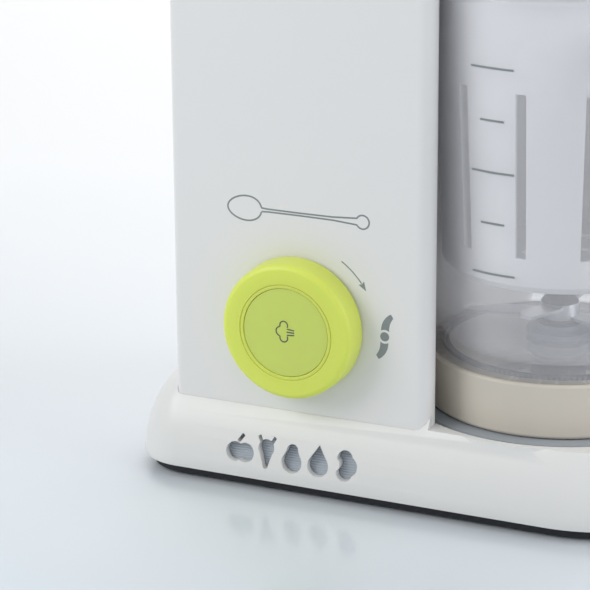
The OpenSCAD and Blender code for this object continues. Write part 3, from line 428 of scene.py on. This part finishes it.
STEM_R, CAP_THICK, CAP_EDGE, CAP_DISH = 1.5, 3.0, 0.35, 0.12
cap = bmesh.new()
under = BUTTON_FACE - CAP_THICK
profile = [(0.0, -STEM_END), (STEM_R, -STEM_END), (STEM_R, under)]
profile += [(BUTTON_R, under), (BUTTON_R, BUTTON_FACE - 0.5)]
profile += arc(BUTTON_R - CAP_EDGE, BUTTON_FACE - CAP_EDGE, CAP_EDGE, 0, 88, 8)
profile += [(BUTTON_R * k, BUTTON_FACE - CAP_DISH * (1 - k * k)) for k in (0.85, 0.7, 0.5, 0.25)]
profile += [(0.0, BUTTON_FACE - CAP_DISH)]
revolve(cap, profile, 160, on_knob)
finish_mesh("button_cap", cap, "button", "button", ["steam_button"], angle=50)

# the steam sign: a cloud of three arcs, and three lines beside it
SIGN_LOW, SIGN_HIGH = BUTTON_FACE - 0.14, BUTTON_FACE - 0.06
HALF_LINE = 0.25
sign = bmesh.new()
cloud = arc(-0.75, 2.95, 1.62, -28, 196, 20)
cloud += arc(-2.15, 0.4, 1.85, 118, 242, 14)[1:-1]
cloud += arc(-0.75, -2.15, 1.62, 164, 388, 20)
slab(sign, band(cloud, HALF_LINE), on_knob, SIGN_LOW, SIGN_HIGH)
for line in ([(0.55, 1.55), (3.6, 1.25)], [(0.45, 0.35), (3.6, 0.3)], [(0.55, -0.95), (3.6, -0.6)]):
    slab(sign, band(line, HALF_LINE), on_knob, SIGN_LOW, SIGN_HIGH)
finish_mesh("button_sign", sign, "dark_ink", "button", ["button_mark"])


# ---------------------------------------------------------------- printed signs on the panel

signs = bmesh.new()
PRINT = 0.03


def on_panel(dx, dy, turn=0.0):
    """Place of a drawing that is turned and then moved by dx, dy from the knob's axis."""
    c, s = math.cos(math.radians(turn)), math.sin(math.radians(turn))
    return lambda x, y, h: on_knob(dx + c * x - s * y, dy + s * x + c * y, h)


ARROW_R = 33.0
slab(signs, band(arc(0, 0, ARROW_R, 36.5, 56.6, 24), 0.24), on_knob, 0.0, PRINT)
slab(signs, [(ARROW_R, 0), (ARROW_R + 1.25, 3.7), (ARROW_R - 0.1, 3.1), (ARROW_R - 1.55, 3.5)],
     on_panel(0, 0, 30.7), 0.0, PRINT)

# the blade sign: a hub, and one curved leaf drawn twice
BLADE_X, BLADE_Y = 36.15, -0.4
slab(signs, arc(0, 0, 1.85, 0, 350, 35), on_panel(BLADE_X, BLADE_Y), 0.0, PRINT)
leaf = bend((-1.5, 2.25), (-0.7, 6.0), (2.1, 9.1), 10) + [(2.55, 9.2), (3.3, 8.1), (3.45, 7.6)]
leaf += bend((3.2, 7.3), (2.32, 5.6), (1.8, 2.35), 8) + arc(0, 0, 2.8, 52, 122, 4)
for turn in (0, 180):
    slab(signs, leaf, on_panel(BLADE_X, BLADE_Y, turn), 0.0, PRINT)

# a spoon in one thin line
SPOON_X, SPOON_Y, SPOON_HALF_LINE = 0.5, 44.1, 0.33
BOWL_X, BOWL_LONG, BOWL_WIDE = -23.0, 7.2, 4.9
bowl = []
for degrees in range(172, -173, -6):
    c, s = math.cos(math.radians(degrees)), math.sin(math.radians(degrees))
    bowl.append((BOWL_X - BOWL_LONG * c, BOWL_WIDE * s * (1.0 - 0.12 * c)))
shaft = [(-15.9, 0.72), (-13.0, 0.55), (0.0, 0.5), (14.0, 0.62), (24.0, 1.3)]
end = arc(26.4, 0.0, 2.7, 148, -148, 24)
stalk = shaft + end + [(x, -y) for x, y in shaft[::-1]]
for line in (bowl, stalk):
    slab(signs, band(line, SPOON_HALF_LINE), on_panel(SPOON_X, SPOON_Y), 0.0, PRINT)
finish_mesh("panel_signs", signs, "ink", "cabinet", ["panel_marks"])


# ---------------------------------------------------------------- column housing

housing_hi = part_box("rear_housing")[1] / MM
cradle_lo, cradle_hi = (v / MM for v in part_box("cradle_wall"))
bowl_lo, bowl_hi = (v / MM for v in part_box("jug_bowl"))
JUG_X, JUG_Y = (bowl_lo.x + bowl_hi.x) / 2, (bowl_lo.y + bowl_hi.y) / 2
WALL = 2.5
CRADLE_R, LIP_R, BACK_R = 61.5, 3.0, 10.0
BACK_Y = housing_hi.y


def housing_ring(e, front):
    """Outline of the housing, drawn in by e, from its left front edge round the back to its right one."""
    x0, x1, y1 = panel_lo.x + e, panel_hi.x - e, BACK_Y - e
    back, lip, cradle = BACK_R - e, max(LIP_R - e, 0.6), CRADLE_R + e
    cx = x1 - lip
    cy = math.sqrt((cradle + lip) ** 2 - (JUG_X - cx) ** 2)
    swing = math.degrees(math.atan2(cy, JUG_X - cx))
    ring = [(x0, front)]
    ring += arc(x0 + back, y1 - back, back, 180, 90, 14)
    ring += arc(x1 - back, y1 - back, back, 90, 0, 14)
    ring += arc(cx, JUG_Y + cy, lip, 0, -swing, 10)
    ring += arc(JUG_X, JUG_Y, cradle, 180 - swing, 180 + swing, 72)[1:-1]
    ring += arc(cx, JUG_Y - cy, lip, swing, 0, 10)
    return ring + [(x1, front)]


def from_above(x, y, h):
    """Drawn as seen from above, with h going up."""
    return (x, y, h)


def from_front(x, y, h):
    """Drawn as seen from the front, with h going back."""
    return (x, h, y)


def cut(obj, bm):
    """Takes the closed forms drawn in bm, in millimetres, out of obj's mesh."""
    bmesh.ops.recalc_face_normals(bm, faces=bm.faces)
    bmesh.ops.scale(bm, vec=(MM,) * 3, verts=bm.verts)
    data = bpy.data.meshes.new("cutter")
    bm.to_mesh(data)
    bm.free()
    tool = bpy.data.objects.new("cutter", data)
    bpy.context.scene.collection.objects.link(tool)
    mod = obj.modifiers.new("cut", "BOOLEAN")
    mod.operation, mod.solver, mod.object = "DIFFERENCE", "EXACT", tool
    bpy.context.view_layer.update()
    done = bpy.data.meshes.new_from_object(obj.evaluated_get(bpy.context.evaluated_depsgraph_get()))
    obj.modifiers.remove(mod)
    shade_smooth(done)
    old, obj.data = obj.data, done
    bpy.data.meshes.remove(old)
    bpy.data.objects.remove(tool)


def rod(bm, a, b, r, steps=32):
    """Closed cylinder from a to b."""
    a, b = Vector(a), Vector(b)
    spin = (b - a).to_track_quat("Z", "Y").to_matrix()
    long = (b - a).length
    profile = [(0, 0), (r, 0), (r, long), (0, long)]
    revolve(bm, profile, steps, lambda x, y, h: a + spin @ Vector((x, y, h)))


SKIN_SHARP = 35
SEAM = cradle_lo.y + 0.06
skin = bmesh.new()
outer, inner = housing_ring(0.0, SEAM), housing_ring(WALL, SEAM)
slab(skin, outer + inner[::-1], from_above, cradle_lo.z, cradle_hi.z)
housing = finish_mesh("housing_skin", skin, "white", "cabinet",
                      ["rear_housing", "cradle_wall"], SKIN_SHARP)

# how far a hole's cutter goes into the back and into the cradle's wall, and how far it stands out of them
BACK_CUT, CRADLE_CUT, CUT_OUT = 5.0, 4.0, 2.0
VENTS, VENT_PITCH, VENT_LEFT = 9, 8.0, -78.5
VENT_R, VENT_LOW, VENT_HIGH = 1.5, 97.5, 140.5
GLAND_HOLE_R, PORT_HOLE_R = 7.5, 6.0
holes = bmesh.new()
for i in range(VENTS):
    x = VENT_LEFT + VENT_PITCH * i
    pill = arc(x, VENT_HIGH, VENT_R, 0, 180, 8) + arc(x, VENT_LOW, VENT_R, 180, 360, 8)
    slab(holes, pill, from_front, BACK_Y - BACK_CUT, BACK_Y + CUT_OUT)
gland_lo, gland_hi = (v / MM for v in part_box("cord_gland"))
gland_x, gland_z = (gland_lo.x + gland_hi.x) / 2, (gland_lo.z + gland_hi.z) / 2
rod(holes, (gland_x, BACK_Y - BACK_CUT, gland_z), (gland_x, BACK_Y + CUT_OUT, gland_z), GLAND_HOLE_R)
port_lo, port_hi = (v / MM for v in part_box("steam_port"))
port_x, port_z = JUG_X - CRADLE_R, (port_lo.z + port_hi.z) / 2
rod(holes, (port_x - CRADLE_CUT, JUG_Y, port_z), (port_x + CUT_OUT, JUG_Y, port_z), PORT_HOLE_R)
cut(housing, holes)
round_edges(housing, 0.25 * MM, SKIN_SHARP)

PANEL_LEFT_R, PANEL_RIGHT_R = 2.6, 5.5
BUSH_HOLE_R = 8.55


def panel_ring(e):
    """Outline of the panel, drawn in by e, from its left back edge round the front to its right one."""
    x0, x1, y0 = panel_lo.x + e, panel_hi.x - e, panel_lo.y + e
    left_r, right_r = max(PANEL_LEFT_R - e, 0.5), max(PANEL_RIGHT_R - e, 0.5)
    ring = [(x0, panel_hi.y)]
    ring += arc(x0 + left_r, y0 + left_r, left_r, 180, 270, 12)
    ring += arc(x1 - right_r, y0 + right_r, right_r, 270, 360, 16)
    return ring + [(x1, panel_hi.y)]


panel = bmesh.new()
slab(panel, panel_ring(0.0) + panel_ring(WALL)[::-1], from_above, panel_lo.z, panel_hi.z)
front = finish_mesh("panel_skin", panel, "panel", "cabinet", ["front_panel"], SKIN_SHARP)
hole = bmesh.new()
rod(hole, on_knob(0, 0, -2 * WALL), on_knob(0, 0, 1), BUSH_HOLE_R, 48)
cut(front, hole)
round_edges(front, 0.2 * MM, SKIN_SHARP)


# ---------------------------------------------------------------- jug

JUG_LOW_R, JUG_RIM_R, JUG_WALL, JUG_SKIRT = 51.0, 57.5, 2.6, 5.0
JUG_LOW, JUG_RIM = bowl_lo.z, bowl_hi.z
JUG_FLOOR, JUG_CORNER, JUG_BORE_R = 58.5, 10.0, 9.0
HANDLE_TURN, HANDLE_LOW, HANDLE_HIGH = -45.0, 81.8, 186.5


def jug_r(z):
    """Outer radius of the tapered bowl at height z."""
    return JUG_LOW_R + (JUG_RIM_R - JUG_LOW_R) * (z - JUG_LOW) / (JUG_RIM - JUG_LOW)


def on_jug(x, y, h):
    return (JUG_X + x, JUG_Y + y, h)


glass = bmesh.new()
profile = arc(JUG_LOW_R - 0.5, JUG_LOW + 0.5, 0.5, -90, 0, 3)
profile += [(jug_r(z), z) for z in range(int(JUG_LOW) + 4, int(JUG_RIM) - 6, 8)]
profile += arc(JUG_RIM_R + 0.1, JUG_RIM - 2.5, 1.3, -75, 60, 8)
profile += arc(JUG_RIM_R - 0.8, JUG_RIM - 0.8, 0.8, 30, 90, 4)
profile += arc(JUG_RIM_R - JUG_WALL + 0.6, JUG_RIM - 0.6, 0.6, 90, 180, 4)
profile += [(jug_r(z) - JUG_WALL, z) for z in range(int(JUG_RIM) - 8, 70, -8)]
corner_z = JUG_FLOOR + JUG_CORNER
profile += arc(jug_r(corner_z) - JUG_WALL - JUG_CORNER, corner_z, JUG_CORNER, 0, -90, 10)
profile += [(JUG_BORE_R, JUG_FLOOR), (JUG_BORE_R, JUG_FLOOR - JUG_WALL)]
profile += [(JUG_LOW_R - JUG_SKIRT, JUG_FLOOR - JUG_WALL), (JUG_LOW_R - JUG_SKIRT, JUG_LOW), profile[0]]
revolve(glass, profile, 160, on_jug)
finish_mesh("jug_glass", glass, "clear", "jug", ["jug_bowl"], angle=40)


def sweep(bm, path, section, place):
    """Closed sweep of a section along a flat path; place maps (x, y, sideways) to the frame."""
    rings = []
    for i, p in enumerate(path):
        a, b = path[max(i - 1, 0)], path[min(i + 1, len(path) - 1)]
        dx, dy = b[0] - a[0], b[1] - a[1]
        k = math.hypot(dx, dy)
        nx, ny = -dy / k, dx / k
        shape = section(i / (len(path) - 1))
        rings.append([bm.verts.new(place(p[0] + nx * u, p[1] + ny * u, w)) for u, w in shape])
    for a, b in zip(rings, rings[1:]):
        for i in range(len(a)):
            j = (i + 1) % len(a)
            bm.faces.new((a[i], a[j], b[j], b[i]))
    bm.faces.new(rings[0][::-1])
    bm.faces.new(rings[-1])


def oval(thick, wide, power, steps=32):
    """Points round an oval that gets squarer as power grows from 2."""
    points = []
    for i in range(steps):
        c, s = math.cos(2 * math.pi * i / steps), math.sin(2 * math.pi * i / steps)
        u = math.copysign(abs(c) ** (2 / power), c) * thick / 2
        w = math.copysign(abs(s) ** (2 / power), s) * wide / 2
        points.append((u, w))
    return points


def on_handle(r, z, side):
    """A place at radius r from the jug's axis, in the upright plane of its handle."""
    c, s = math.cos(math.radians(HANDLE_TURN)), math.sin(math.radians(HANDLE_TURN))
    return (JUG_X + c * r - s * side, JUG_Y + s * r + c * side, z)


grip = bmesh.new()
path = [(jug_r(HANDLE_HIGH) + 0.1, HANDLE_HIGH), (62.0, HANDLE_HIGH), (68.0, HANDLE_HIGH)]
path += arc(69.5, 171.5, 15.0, 84, 4, 12)
path += [(84.0 - 0.068 * drop, 168.0 - drop) for drop in range(6, 72, 6)]
path += arc(66.3, 93.5, 13.0, -6, -84, 12)
path += [(64.0, 80.8), (60.0, 81.2), (jug_r(HANDLE_LOW) + 0.1, HANDLE_LOW)]


def grip_section(t):
    """Section of the handle at the part t of its path: wider at both ends, and slimmer between them."""
    flare = 1.0 + 0.25 * (max(0.0, 1 - t * 9) ** 2 + max(0.0, 1 - (1 - t) * 9) ** 2)
    middle = math.sin(math.pi * t)
    return oval(10.4 - 0.8 * middle, (18.0 + 1.2 * middle) * min(flare, 1.1), 3.2)


sweep(grip, path, grip_section, on_handle)
finish_mesh("jug_grip", grip, "white", "jug", ["jug_handle"], angle=40)


# ---------------------------------------------------------------- floor and light

# a flat floor that bends up into a wall, in metres; the points on the flat keep its shading even
DEPTH, SIDE, RISE, BEND, FLAT_END = 4.0, 6.0, 4.0, 1.2, 1.6
floor = bmesh.new()
section = [(-DEPTH, 0.0), (-0.5, 0.0), (0.6, 0.0)]
section += arc(FLAT_END, BEND, BEND, -90, 0, 9)
section += [(FLAT_END + BEND, RISE)]
edges = [[floor.verts.new((x, y, z)) for y, z in section] for x in (-SIDE, SIDE)]
for i in range(len(section) - 1):
    floor.faces.new((edges[0][i], edges[1][i], edges[1][i + 1], edges[0][i + 1]))
data = bpy.data.meshes.new("floor")
floor.to_mesh(data)
floor.free()
shade_smooth(data)
mat, tree, bsdf = shader("floor")
place = tree.nodes.new("ShaderNodeSeparateXYZ")
tree.links.new(coords(tree), place.inputs["Vector"])
run = tree.nodes.new("ShaderNodeMapRange")
run.inputs["From Min"].default_value, run.inputs["From Max"].default_value = -0.2, 1.4
tree.links.new(place.outputs["Y"], run.inputs["Value"])
sway = tree.nodes.new("ShaderNodeMath")
sway.operation = "MULTIPLY_ADD"
sway.inputs[1].default_value = 0.05
tree.links.new(noise(tree, 0.9, 2.0), sway.inputs[0])
tree.links.new(run.outputs["Result"], sway.inputs[2])
# painted shade on the floor: bluish grey at the front, going over to a warm white towards the wall behind
# the part
FLOOR_PAINTED_SHADE = [(0.02, (0.635, 0.69, 0.74)), (0.35, (0.86, 0.87, 0.88)), (1.0, (0.97, 0.95, 0.92))]
tone = ramp(tree, sway.outputs["Value"], FLOOR_PAINTED_SHADE)
tree.links.new(tone, bsdf.inputs["Base Color"])
tree.links.new(span(tree, noise(tree, 3.0, 3.0), 0.16, 0.22), bsdf.inputs["Roughness"])
bsdf.inputs["Coat Weight"].default_value = 0.3
data.materials.append(mat)
stand = bpy.data.objects.new("floor", data)
bpy.context.scene.collection.objects.link(stand)


def area(name, place, target, size, power, color=(1, 1, 1)):
    lamp = bpy.data.lights.new(name, "AREA")
    lamp.shape = "RECTANGLE"
    lamp.size, lamp.size_y = size
    lamp.energy = power
    lamp.color = color
    obj = bpy.data.objects.new(name, lamp)
    place, target = Vector(place), Vector(target)
    facing = (target - place).to_track_quat("-Z", "Y").to_matrix().to_4x4()
    obj.matrix_world = Matrix.Translation(place) @ facing
    bpy.context.scene.collection.objects.link(obj)


world = bpy.data.worlds.new("world")
world.use_nodes = True
world.node_tree.nodes["Background"].inputs["Color"].default_value = (0.93, 0.96, 1.0, 1.0)
world.node_tree.nodes["Background"].inputs["Strength"].default_value = 0.64
bpy.context.scene.world = world
area("key", (-1.2, -1.25, 1.1), (-0.04, -0.05, 0.08), (1.1, 1.1), 15, (1.0, 0.995, 0.98))
area("fill", (1.35, 0.1, 0.6), (0.0, 0.0, 0.12), (1.1, 1.1), 11, (0.97, 0.98, 1.0))
area("back", (-0.3, 1.6, 1.6), (0.0, 0.9, 0.0), (2.4, 1.0), 24)
bpy.context.scene.view_settings.view_transform = "Standard"
